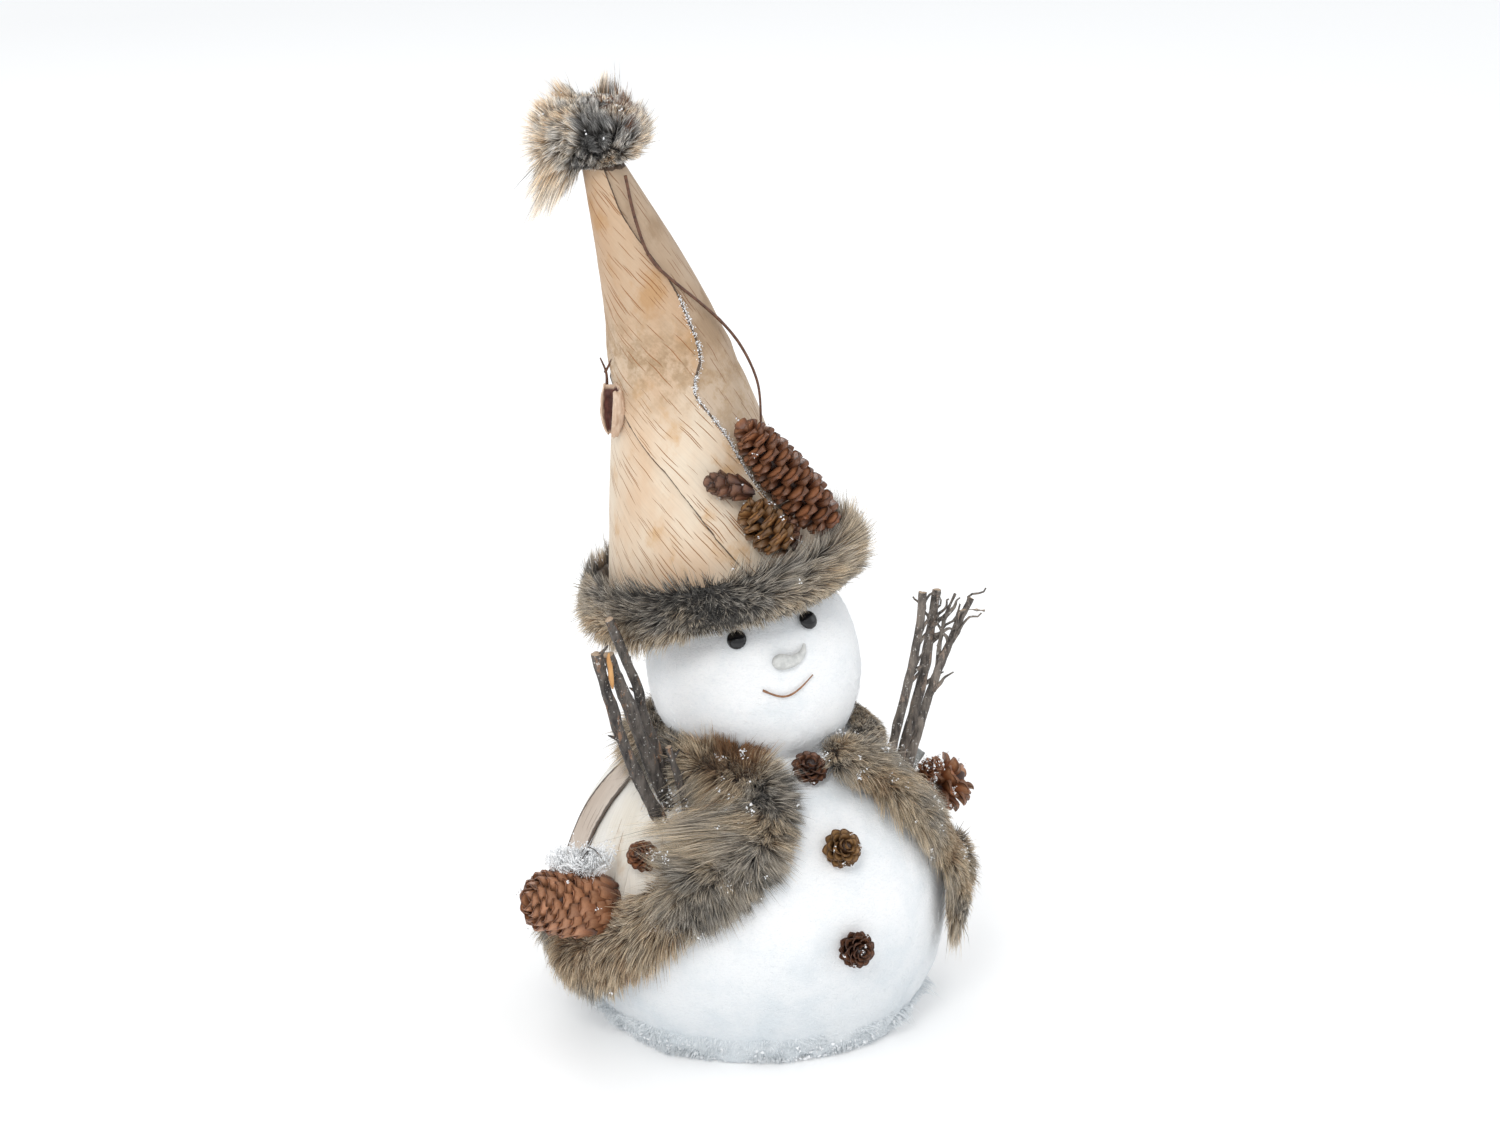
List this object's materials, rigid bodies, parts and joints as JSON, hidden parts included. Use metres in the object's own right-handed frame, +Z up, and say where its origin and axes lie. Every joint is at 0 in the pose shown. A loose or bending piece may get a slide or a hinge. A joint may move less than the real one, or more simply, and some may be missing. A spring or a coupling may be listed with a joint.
{
  "type": "snowman figure",
  "caption": "Free-standing snowman figure: two fibre-wrapped balls, a tall bent bark hat with a fur brim and pom-pom, a fur-edged bark cape, twig arms and cone trim.",
  "frame": {"origin": "centre of the flat underside, on the ground", "axes": "+Z up, -Y is the way the face looks, +X is to the right as seen from the front"},
  "size_m": [0.2522, 0.2177, 0.485],
  "materials": {
    "foam": "expanded foam, hidden",
    "fibre": "fluffy white wadding with a cool tint in shade",
    "card": "grey-brown board",
    "dowel": "plain birch dowel, hidden",
    "bead": "glossy black",
    "nose": "pale bleached wood, matt",
    "twig": "dark grey-brown bark with pale cut ends",
    "vine": "thin red-brown stem",
    "cone": "red-brown woody scales with paler edges",
    "dark_cone": "dark brown woody scales",
    "pale_bark": "off-white birch bark with dark edges",
    "grey_bark": "weathered grey bark",
    "paper": "kraft paper, hidden",
    "hat_bark": "peach birch bark with brown lenticels and ochre stains",
    "fur": "long-pile faux fur, grey-brown with cream tips"
  },
  "bodies": {
    "root": {"base_disc": "card", "body_core": "foam", "body_wrap": "fibre", "neck_dowel": "dowel", "head_core": "foam", "head_wrap": "fibre", "eye_left": "bead", "eye_right": "bead", "nose": "nose", "mouth_twig": "vine", "button_top": "dark_cone", "button_middle": "dark_cone", "button_bottom": "dark_cone", "arm_left_outer": "twig", "arm_left_middle": "twig", "arm_left_rear": "twig", "arm_left_short": "twig", "arm_right_inner": "twig", "arm_right_middle": "twig", "arm_right_branched": "twig", "cape_bark_1": "pale_bark", "cape_bark_2": "pale_bark", "cape_bark_3": "pale_bark", "cape_bark_4": "pale_bark", "cape_bark_5": "pale_bark", "cape_bark_6": "pale_bark", "cape_bark_7": "pale_bark", "cape_bark_8": "pale_bark", "bark_tab": "grey_bark", "fur_collar": "fur", "fur_lapel_left": "fur", "fur_lapel_right": "fur", "fur_hem": "fur", "cone_side_big": "cone", "cone_side_small": "cone", "cone_shoulder_open": "cone", "cone_shoulder_small": "cone", "hat_lining": "paper", "hat_bark_front": "hat_bark", "hat_bark_rear": "hat_bark", "hat_bark_lower": "hat_bark", "hat_bark_curl": "hat_bark", "hat_splinter": "vine", "fur_brim": "fur", "fur_pompom": "fur", "vine": "vine", "hat_cone_long": "cone", "hat_cone_left": "dark_cone", "hat_cone_middle": "cone", "hat_cone_small": "dark_cone"}
  },
  "joints": []
}
